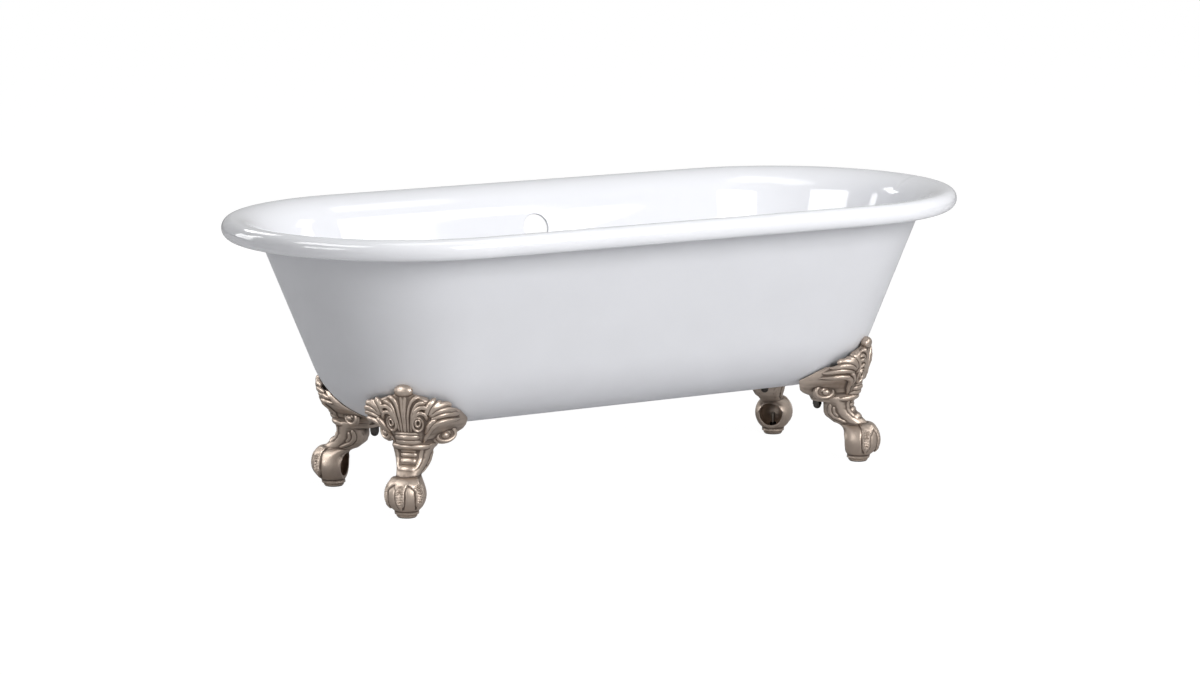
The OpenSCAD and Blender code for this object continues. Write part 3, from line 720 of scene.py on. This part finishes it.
def laid(foot, rows, side=1, groove=0.0, steps=44):
    """A roll whose rows lie on the foot's face, on one side of its middle."""
    y, z, half, rise = smooth_path(rows, steps).T * foot.unit
    normal = foot.facing(y * side, z)
    normal[:, 0] = np.maximum(normal[:, 0], 0.2)
    return tapered(foot, foot.face(y * side, z), normal, half, rise, groove)


def leaf(foot, rows, side, groove):
    """A roll on the flank, which runs from the widest line to the back line and turns in
    towards the back with the fourth power of the way."""
    path = smooth_path(np.array(rows) * [100, 1, 1, 1], 44) * ([0.01] + [foot.unit] * 3)
    way, z, half, rise = path.T

    def flank(way, z):
        w = foot.size(z, HALF_WIDTH)
        s = foot.widest(z, w, side)
        return joined(s + (foot.size(z, BACK) - s) * way, side * w * (1 - way ** 4), z)

    centre = flank(way, z)
    normal = np.cross(flank(way + 0.02, z) - centre, flank(way, z + MM) - centre) * -side
    return tapered(foot, centre, normal, half, rise, groove)


def band(foot, level, half, tall, rise, steps=48):
    """A ring across the front of collar or shank, from flank to flank at one height. It droops
    with the square of the way out and sinks with its fourth power."""
    y = np.linspace(-half, half, steps)
    rows = joined(y, level - 1.5 * (y / half) ** 2, tall, rise * (1 - 0.5 * (y / half) ** 4))
    return laid(foot, rows, steps=steps)


def dome(middle, across, up, out):
    """A flattened ball: its three half sizes are vectors. Every ring turns about the last."""
    e = np.linspace(-np.pi / 2, np.pi / 2, 17)
    ring = revolve(joined(np.maximum(np.cos(e), 0.02), np.sin(e)), 44)
    return middle + ring[..., :1] * across + ring[..., 1:2] * up + ring[..., 2:] * out


def cap(foot):
    """The cap: a dome that leans with the crest's face and is sunk in it by half its rise."""
    level, across, up, out = np.array(CAP) * foot.unit
    normal = foot.facing(0.0, level)
    return dome(foot.face(0.0, level) - normal * out / 2, np.array([0, across, 0]),
                up * np.array([-normal[2], 0, normal[0]]), normal * out)


def scroll(foot, side):
    """A volute at the end of the crest: a roll that winds in as its radius shrinks, the flat
    oval boss under it and the domed knob that it ends round."""
    unit = foot.unit
    x, y, z = SCROLL["middle"]
    middle, up = np.array([x, y * side, z]) * unit, np.array([0, 0, 1.0])
    a = np.radians(SCROLL["turn"])
    normal = np.array([np.cos(a), np.sin(a) * side, 0])
    along = np.array([-np.sin(a), np.cos(a) * side, 0])
    wide, tall = SCROLL["wide"] * unit, SCROLL["tall"] * unit
    s = np.linspace(0, 1, 120)
    turn = np.radians(SCROLL["start"]) - s * 2 * np.pi * SCROLL["coils"]
    shrink = 1 - SCROLL["shrink"] * s
    path = (middle + along * (wide * shrink * np.cos(turn))[:, None]
            + up * (tall * shrink * np.sin(turn))[:, None]
            + normal * (unit * (1 + SCROLL["climb"] * s))[:, None])
    half = unit * (SCROLL["half"] - SCROLL["thinner"] * s) * end_shares(len(s), 0.06)
    roll = swept(path, np.gradient(path, axis=0), np.broadcast_to(normal, path.shape), half, half * 1.2)
    margin = SCROLL["margin"] * unit
    boss = dome(middle, along * (wide + margin), up * side * (tall + margin),
                normal * SCROLL["boss"] * unit)
    wide, tall, deep = SCROLL["knob"]
    knob = dome(middle + normal * SCROLL["climb"] * unit, along * wide * unit, up * side * tall * unit,
                normal * deep * unit)
    return [roll, boss, knob]


def eye(foot, side, middle, wide, tall, half, rise):
    """A closed roll round an almond on the face: its middle, its half sizes, and the roll's."""
    t = np.linspace(0, 2 * np.pi, 72, endpoint=False)
    y = (middle[0] + wide * np.cos(t) + 0.1 * tall * np.sin(t)) * foot.unit * side
    z = (middle[1] + tall * np.sin(t)) * foot.unit
    centre = foot.face(y, z)
    swell = foot.unit * (1 + 0.2 * np.cos(t + 2.2))
    return swept(centre, np.roll(centre, -1, 0) - np.roll(centre, 1, 0), foot.facing(y, z),
                 half * swell, rise * swell * foot.feet.relief)


def over_ball(foot, bearing, rise, stand):
    """Points so many radii from the ball's middle, at bearings and rises in degrees, and the
    directions in which they lie."""
    a, e = np.radians(bearing), np.radians(rise)
    normal = joined(np.cos(e) * np.cos(a), np.cos(e) * np.sin(a), np.sin(e))
    return foot.ball_middle + normal * foot.feet.ball_radius * stand, normal


def toe(foot, across):
    """A toe over the ball: a flat roll down a meridian, wide where the toes meet under the ankle
    and ribbed across its middle."""
    r = foot.feet.ball_radius
    s = np.linspace(0, 1, 170)
    rise = TOE_TOP + (TOE_END - TOE_TOP) * s
    root = np.clip((rise - 12) / 36, 0, 1) ** 1.6
    centre, normal = over_ball(foot, across - TOE_LEAN * np.sign(across) * root, rise, 0.985)
    ribbed = np.interp(rise, [-20, -16, 30, 34], [0, 1, 1, 0])
    ribs = 1 + RIB_SHARE * np.cos(2 * np.pi * rise / RIB_PITCH) * ribbed
    half = r * (TOE_HALF + TOE_ROOT * root) * np.where(s > 0.8, 1 - ((s - 0.8) / 0.3) ** 2, 1)
    tip = np.where(s > 0.85, 1 - ((s - 0.85) / 0.25) ** 2, 1)
    tall = TOE_RISE * r * np.clip(s / 0.1, 0.05, 1) * tip
    return swept(centre, np.gradient(centre, axis=0), normal, half, tall, 34, ripples=ribs)


def talon(foot, across):
    """The claw at a toe's end: a pointed roll that hooks down towards the base."""
    s = np.linspace(0, 1, 40)
    centre, normal = over_ball(foot, across, TALON_TOP + (TALON_END - TALON_TOP) * s,
                               0.99 + 0.02 * s[:, None])
    half = TALON_HALF * foot.feet.ball_radius * (1 - 0.72 * s) * end_shares(len(s), 0.2)
    return swept(centre, np.gradient(centre, axis=0), normal, half, half * 1.3 * foot.feet.relief)


def carve(foot, form):
    """Adds every roll of the carving to a foot's form."""
    for side in (-1, 1):
        for rows, groove in CREST_ROLLS + FLANK_ROLLS:
            form.rings(laid(foot, rows, side, groove))
        for rows, groove in MIDDLE_FLUTES:
            if side == 1 or rows[0][0]:
                form.rings(laid(foot, rows, side, groove))
        for rows, groove in FLANK_LEAVES:
            form.rings(leaf(foot, rows, side, groove))
        for part in scroll(foot, side):
            form.rings(part)
        for ring in EYES:
            form.rings(eye(foot, side, *ring), looped=True)
    form.rings(cap(foot))
    for ring in COLLAR_RINGS + SHANK_RINGS:
        form.rings(band(foot, *ring))
    for across in TOES:
        form.rings(toe(foot, across))
        form.rings(talon(foot, across))
    return form


# ---- Finishes ----

def node(tree, kind, inputs=(), **more):
    """Adds a shader node with its settings, and with a value or a link on each named input."""
    made = tree.nodes.new("ShaderNode" + kind)
    for name, value in more.items():
        setattr(made, name, value)
    for socket, value in dict(inputs).items():
        if isinstance(value, bpy.types.NodeSocket):
            tree.links.new(value, made.inputs[socket])
        else:
            made.inputs[socket].default_value = value
    return made


def blank(name):
    """A new material and its empty tree."""
    made = bpy.data.materials.new(name)
    made.use_nodes = True
    made.node_tree.nodes.clear()
    return made, made.node_tree


def grain(tree, size, detail=3.0):
    """A pattern all through the metal, with features of one size in metres."""
    place = node(tree, "TexCoord").outputs["Object"]
    return node(tree, "TexNoise", {"Vector": place, "Scale": 1 / size, "Detail": detail}).outputs["Fac"]


def mottle(tree, size, low, high):
    """The grain, which mostly runs from 0.3 to 0.7, stretched over low to high."""
    return node(tree, "MapRange", {"Value": grain(tree, size), "From Min": 0.3, "From Max": 0.7,
                                   "To Min": low, "To Max": high}).outputs["Result"]


def patched(tree, colour, dark, size):
    """A colour that in patches of one size darkens to a share of itself."""
    c = np.array(colour)
    return node(tree, "Mix", {0: mottle(tree, size, 0, 1), 6: (*(c * dark), 1), 7: (*c, 1)},
                data_type="RGBA").outputs[2]


def vitreous_enamel(finish):
    # Glass fired on iron: hard mirror gloss over white, with the slow waviness that the melt
    # leaves every 15 mm or so, far too shallow to see except in a reflection.
    made, tree = blank("vitreous enamel, fired")
    bump = node(tree, "Bump", {"Height": grain(tree, 0.015, 1.0), "Strength": 0.12, "Distance": 0.0004})
    skin = node(tree, "BsdfPrincipled", {
        "Base Color": patched(tree, finish.enamel, 0.985, 0.18), "Roughness": 0.07, "IOR": 1.52,
        "Normal": bump.outputs[0]})
    node(tree, "OutputMaterial", {0: skin.outputs[0]})
    return made


def satin_paint(finish):
    # Two-pack paint sprayed on ground cast iron: a broad soft sheen. The iron's grit of about
    # 1 mm, drawn at 2 mm so that it shows, barely lifts the film.
    made, tree = blank("satin paint on cast iron, sprayed")
    bump = node(tree, "Bump", {"Height": grain(tree, 0.002), "Strength": 0.10, "Distance": 0.0003})
    skin = node(tree, "BsdfPrincipled", {
        "Base Color": patched(tree, finish.paint, 0.975, 0.11),
        "Roughness": mottle(tree, 0.004, 0.40, 0.47), "IOR": 1.5, "Normal": bump.outputs[0]})
    node(tree, "OutputMaterial", {0: skin.outputs[0]})
    return made


def satin_nickel(finish):
    # Nickel plated on an iron casting and brushed by hand: warm grey and bright where the brush reaches,
    # brown and dull in the hollows, over the casting's own skin of 1 to 2 mm. The brown in the hollows
    # is partly dulled plate and partly painted shade, standing in for the shade that falls in the
    # carving's crevices.
    made, tree = blank("satin nickel plate on a casting, brushed")
    stands = node(tree, "Attribute", attribute_name="relief").outputs["Fac"]
    patchy = node(tree, "Math", {0: stands, 1: mottle(tree, 0.012, -0.06, 0.06)},
                  operation="ADD").outputs[0]
    # Low relief mixes in the hollows' colour: partly dulled plate and partly painted shade in the
    # crevices
    bright = node(tree, "MapRange", {"Value": patchy, "From Min": 0.08, "From Max": 0.62})
    colour = node(tree, "Mix", {0: bright.outputs[0], 6: (*finish.hollow_patina_and_shade, 1), 7: (*finish.nickel, 1)},
                  data_type="RGBA")
    worn = node(tree, "MapRange", {"Value": patchy, "From Min": 0.1, "From Max": 0.9,
                                   "To Min": 0.56, "To Max": 0.40})
    bump = node(tree, "Bump", {"Height": grain(tree, 0.0016), "Strength": 0.22, "Distance": 0.0004})
    skin = node(tree, "BsdfPrincipled", {
        "Base Color": colour.outputs[2], "Metallic": 1.0, "Roughness": worn.outputs[0],
        "Normal": bump.outputs[0]})
    node(tree, "OutputMaterial", {0: skin.outputs[0]})
    return made


def turned_metal(name, colour, rough, radian):
    # Turned bar with the rings that a tool leaves. They are drawn 6 to 8 mm apart, far wider
    # than a real feed of 0.2 mm, so that they show: the wave texture turns through 20 radians
    # in each unit, and radian is the length in metres of one of them.
    made, tree = blank(name)
    rings = node(tree, "TexWave", {"Vector": node(tree, "TexCoord").outputs["Object"],
                                   "Scale": 1 / radian / 20, "Distortion": 0.5},
                 wave_type="BANDS", bands_direction="Z")
    bump = node(tree, "Bump", {"Height": rings.outputs["Fac"], "Strength": 0.2, "Distance": 0.0002})
    skin = node(tree, "BsdfPrincipled", {
        "Base Color": patched(tree, colour, 0.8, 0.003), "Metallic": 1.0,
        "Roughness": mottle(tree, 0.002, rough - 0.05, rough + 0.08), "Normal": bump.outputs[0]})
    node(tree, "OutputMaterial", {0: skin.outputs[0]})
    return made


def moulded_rubber(finish):
    # Moulded rubber: black-grey and dull, with a fine spark-eroded texture of about 0.5 mm.
    made, tree = blank("rubber, moulded")
    bump = node(tree, "Bump", {"Height": grain(tree, 0.0006), "Strength": 0.3, "Distance": 0.0002})
    skin = node(tree, "BsdfPrincipled", {
        "Base Color": patched(tree, finish.rubber, 0.8, 0.004), "Roughness": 0.7, "IOR": 1.52,
        "Normal": bump.outputs[0]})
    node(tree, "OutputMaterial", {0: skin.outputs[0]})
    return made


def rays(tree):
    """Shares of one for rays that see the backdrop straight or through glass, and for those
    that gloss mirrors."""
    path = node(tree, "LightPath").outputs
    seen = node(tree, "Math", {0: path["Is Camera Ray"], 1: path["Is Transmission Ray"]},
                operation="MAXIMUM")
    return seen.outputs[0], path["Is Glossy Ray"]


def pale_floor(finish):
    # A plain matt pale floor. Seen straight on it is part its own lit colour, which keeps a
    # faint shadow, and for the rest plain white.
    made, tree = blank("matt white floor, painted")
    share = node(tree, "Math", {0: rays(tree)[0], 1: 0.86}, operation="MULTIPLY")
    matt = node(tree, "BsdfDiffuse", {"Color": (*finish.floor, 1)})
    glow = node(tree, "Emission", {"Color": (1, 1, 1, 1), "Strength": 1.13})
    both = node(tree, "MixShader", {0: share.outputs[0], 1: matt.outputs[0], 2: glow.outputs[0]})
    node(tree, "OutputMaterial", {0: both.outputs[0]})
    return made


# ---- Operators ----

def settings():
    scene = bpy.context.scene
    return scene.bath_tub, scene.bath_feet, scene.bath_finish, scene.bath_stage


def refinish(nodes, made):
    """Gives carried-over nodes one material."""
    for name in nodes:
        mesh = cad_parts[name].data
        mesh.materials.clear()
        mesh.materials.append(made)


class BATH_OT_tub(bpy.types.Operator):
    """Build the enamelled tub with its rolled rim, holes, waste seat and lugs"""
    bl_idname = "bath.tub"
    bl_label = "Tub"
    bl_options = {"REGISTER", "UNDO"}

    def execute(self, context):
        tub, feet, finish, _ = settings()
        ends, enamel_from = tub_profile(tub, tub.length / 2, tub.end_lean)
        sides, _ = tub_profile(tub, tub.width / 2, tub.side_lean)
        enamel, paint = vitreous_enamel(finish), satin_paint(finish)
        bands = (np.arange(len(ends) - 1) < enamel_from).astype(int)
        shell = Form().rings(tub_rings(ends, sides), kind=bands).make("bare_shell", [enamel, paint])
        reach = outer_reach(tub, tub.width / 2, tub.side_lean, tub.overflow_height, -tub.wall / 2)
        half = tub.wall / 2
        overflow = hole(tub.overflow_bore / 2, -half, half, tub.hole_edge)
        overflow = turned(overflow, -np.pi / 2 - tub.side_lean)
        overflow = overflow + np.array([0, float(reach), tub.overflow_height])
        waste = hole(tub.waste_bore / 2, tub.belly_height, tub.belly_height + tub.wall, tub.hole_edge)
        form = cut(shell, [Form().rings(overflow), Form().rings(waste)])
        inner, outer, low = tub.waste_bore / 2, tub.waste_seat / 2, tub.belly_height - tub.seat_depth
        form.rings(revolve([[inner, low], [outer - MM, low], [outer, low + MM],
                            [outer, tub.belly_height + half], [inner, tub.belly_height + half]]),
                   kind=1, looped=True)
        foot = Foot(tub, feet)
        for right, rear in CORNERS.values():
            lug = foot.to_world(foot.lug(), right, rear)
            form.rings(lug if right * rear > 0 else lug[:, ::-1], kind=1)
        piece = form.make("tub_enamelled", [enamel, paint], sharp=50)
        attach(piece, "bath")
        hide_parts("tub_shell")
        return {"FINISHED"}


class BATH_OT_feet(bpy.types.Operator):
    """Build the four carved ball-and-claw feet"""
    bl_idname = "bath.feet"
    bl_label = "Feet"
    bl_options = {"REGISTER", "UNDO"}

    def execute(self, context):
        tub, feet, finish, _ = settings()
        nickel = satin_nickel(finish)
        foot = Foot(tub, feet)
        form = cut(foot.body().make("bare_foot", [nickel]), foot.hollow())
        form = cast_in_one(carve(foot, form.rings(foot.boss(), looped=True)), feet.skin)
        # The plate inside the ball was never brushed away, so it is as bright as what stands out and
        # gets none of the painted shade of the hollows
        off_middle = np.linalg.norm(form.points[0] - foot.ball_middle, axis=1)
        form.relief[off_middle < feet.ball_radius - feet.casting / 2] = 1
        # Points go where the skin is nearly flat, and hand their relief on to those they join
        triangles = sum(len(face) - 2 for face in form.faces)
        form = modified(form, "DECIMATE", ratio=min(1.0, feet.triangles / triangles))
        points = form.points[0]
        for corner, (right, rear) in CORNERS.items():
            form.points = [foot.to_world(points, right, rear)]
            piece = form.make("foot_%s_carved" % corner, [nickel], flip=right * rear < 0)
            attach(piece, "bath")
            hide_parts("foot_" + corner)
        return {"FINISHED"}


class BATH_OT_fasteners(bpy.types.Operator):
    """Finish the studs, washers and cap nuts that hold the feet"""
    bl_idname = "bath.fasteners"
    bl_label = "Fasteners"
    bl_options = {"REGISTER", "UNDO"}

    def execute(self, context):
        finish = settings()[2]
        steel = turned_metal("steel, zinc plated", tuple(finish.steel), 0.42, 0.001)
        refinish(["foot_studs", "foot_washers", "foot_cap_nuts", "leveller_lock_nuts"], steel)
        return {"FINISHED"}


class BATH_OT_levellers(bpy.types.Operator):
    """Finish the levelling screws, their bushes and the glides"""
    bl_idname = "bath.levellers"
    bl_label = "Levellers"
    bl_options = {"REGISTER", "UNDO"}

    def execute(self, context):
        finish = settings()[2]
        refinish(["leveller_bushes"], turned_metal("brass, turned", tuple(finish.brass), 0.3, 0.001))
        steel = turned_metal("steel screw, zinc plated", tuple(finish.screw), 0.38, 0.00125)
        nickel = turned_metal("nickel plate on turned steel", tuple(finish.nickel), 0.34, 0.001)
        rubber = moulded_rubber(finish)
        for corner in CORNERS:
            refinish(["leveller_screw_" + corner], steel)
            refinish(["glide_cup_" + corner], nickel)
            refinish(["glide_sole_" + corner], rubber)
        return {"FINISHED"}


# The soft boxes that light the bath: name, which power, width, height, azimuth, elevation and
# distance from the spot that the camera aims at
LAMPS = [
    ("softbox_front", "key", 3.6, 2.4, 14, 24, 6.0),
    ("softbox_left", "fill", 3.0, 1.6, -52, 8, 6.0),
    ("softbox_behind", "behind", 1.6, 1.6, -140, 12, 5.0),
    ("softbox_over", "over", 3.0, 1.4, 4, 78, 3.6),
]
# The soft boxes that only gloss mirrors: name, width, height, azimuth, elevation and the spot on
# the enamel that each is seen from
GLINTS = [
    ("mirrored_in_left_roll", 0.5, 1.2, -146, 24, (-0.862, -0.072, 0.605)),
    ("mirrored_in_front_roll", 2.0, 1.0, -80, 10, (-0.789, -0.244, 0.593)),
    ("mirrored_in_right_roll", 1.4, 1.1, 76, 31, (0.56, -0.387, 0.604)),
    ("mirrored_in_end_wall", 2.2, 0.9, -81, 31, (0.72, 0.171, 0.546)),
    ("mirrored_in_end_flare", 0.9, 0.8, -154, 31, (0.79, 0.01, 0.584)),
]
# Metres from each of them to its spot and from the floor's middle to its sides, and the
# camera's sensor in millimetres and furthest sight in metres
GLINT_DISTANCE, FLOOR_HALF = 4.0, 60.0
SENSOR_WIDTH, CLIP_END = 36, 200


class BATH_OT_stage(bpy.types.Operator):
    """Lay the floor, set the lamps and place the camera"""
    bl_idname = "bath.stage"
    bl_label = "Stage"
    bl_options = {"REGISTER", "UNDO"}

    def execute(self, context):
        _, _, finish, stage = settings()
        scene = context.scene
        scene.view_settings.view_transform = "Standard"
        aim = Vector((stage.aim_x, 0, stage.aim_height))

        def placed(data, name, azimuth, elevation, distance, target=aim):
            way = Vector((np.sin(azimuth) * np.cos(elevation), -np.cos(azimuth) * np.cos(elevation),
                          np.sin(elevation)))
            made = bpy.data.objects.new(name, data)
            made.location = target + way * distance
            made.rotation_euler = (-way).to_track_quat("-Z", "Y").to_euler()
            scene.collection.objects.link(made)
            return made

        lens = bpy.data.cameras.new("camera")
        lens.lens, lens.sensor_width, lens.clip_end = stage.lens, SENSOR_WIDTH, CLIP_END
        scene.camera = placed(lens, "camera", stage.azimuth, stage.elevation, stage.distance)

        def lamp(name, watts, wide, tall, azimuth, elevation, distance, target=aim):
            data = bpy.data.lights.new(name, "AREA")
            data.shape, data.size, data.size_y, data.energy = "RECTANGLE", wide, tall, watts
            return placed(data, name, np.radians(azimuth), np.radians(elevation), distance, target)

        for name, watts, *place in LAMPS:
            lamp(name, getattr(stage, watts), *place)
        for name, wide, tall, azimuth, elevation, spot in GLINTS:
            lamp(name, stage.glint * wide * tall, wide, tall, azimuth, elevation, GLINT_DISTANCE,
                 Vector(spot)).visible_diffuse = False

        floor, half = bpy.data.meshes.new("floor"), FLOOR_HALF
        floor.from_pydata([(-half, -half, 0), (half, -half, 0), (half, half, 0), (-half, half, 0)], [],
                          [(0, 1, 2, 3)])
        floor.materials.append(pale_floor(finish))
        ground = bpy.data.objects.new("floor", floor)
        scene.collection.objects.link(ground)

        world = bpy.data.worlds.new("even white room")
        scene.world = world
        world.use_nodes = True
        tree = world.node_tree
        tree.nodes.clear()
        seen, glossy = rays(tree)
        plain = {"Color": (1, 1, 1, 1)}
        lit, dim, white = (node(tree, "Background", {**plain, "Strength": strength}).outputs[0]
                           for strength in (stage.room, stage.mirrored, 1.0))
        both = node(tree, "MixShader", {0: glossy, 1: lit, 2: dim})
        both = node(tree, "MixShader", {0: seen, 1: both.outputs[0], 2: white})
        node(tree, "OutputWorld", {0: both.outputs[0]})
        return {"FINISHED"}


OPERATORS = (BATH_OT_tub, BATH_OT_feet, BATH_OT_fasteners, BATH_OT_levellers, BATH_OT_stage)
GROUPS = {"bath_tub": BathTub, "bath_feet": BathFeet, "bath_finish": BathFinish, "bath_stage": BathStage}


class BATH_PT_panel(bpy.types.Panel):
    """The bath's sizes, finishes and pieces"""
    bl_idname = "BATH_PT_panel"
    bl_label = "Roll-top bath"
    bl_space_type = "VIEW_3D"
    bl_region_type = "UI"
    bl_category = "Bath"

    def draw(self, context):
        for name, group in GROUPS.items():
            box = self.layout.box()
            box.label(text=group.__doc__)
            for value in group.__annotations__:
                box.prop(getattr(context.scene, name), value)
        for operator in OPERATORS:
            self.layout.operator(operator.bl_idname)


CLASSES = tuple(GROUPS.values()) + OPERATORS + (BATH_PT_panel,)


def register():
    for c in CLASSES:
        bpy.utils.register_class(c)
    for name, group in GROUPS.items():
        setattr(bpy.types.Scene, name, bpy.props.PointerProperty(type=group))


def unregister():
    for name in GROUPS:
        delattr(bpy.types.Scene, name)
    for c in reversed(CLASSES):
        bpy.utils.unregister_class(c)


def main():
    register()
    for make in (bpy.ops.bath.tub, bpy.ops.bath.feet, bpy.ops.bath.fasteners, bpy.ops.bath.levellers,
                 bpy.ops.bath.stage):
        make()


if __name__ == "__main__":
    main()
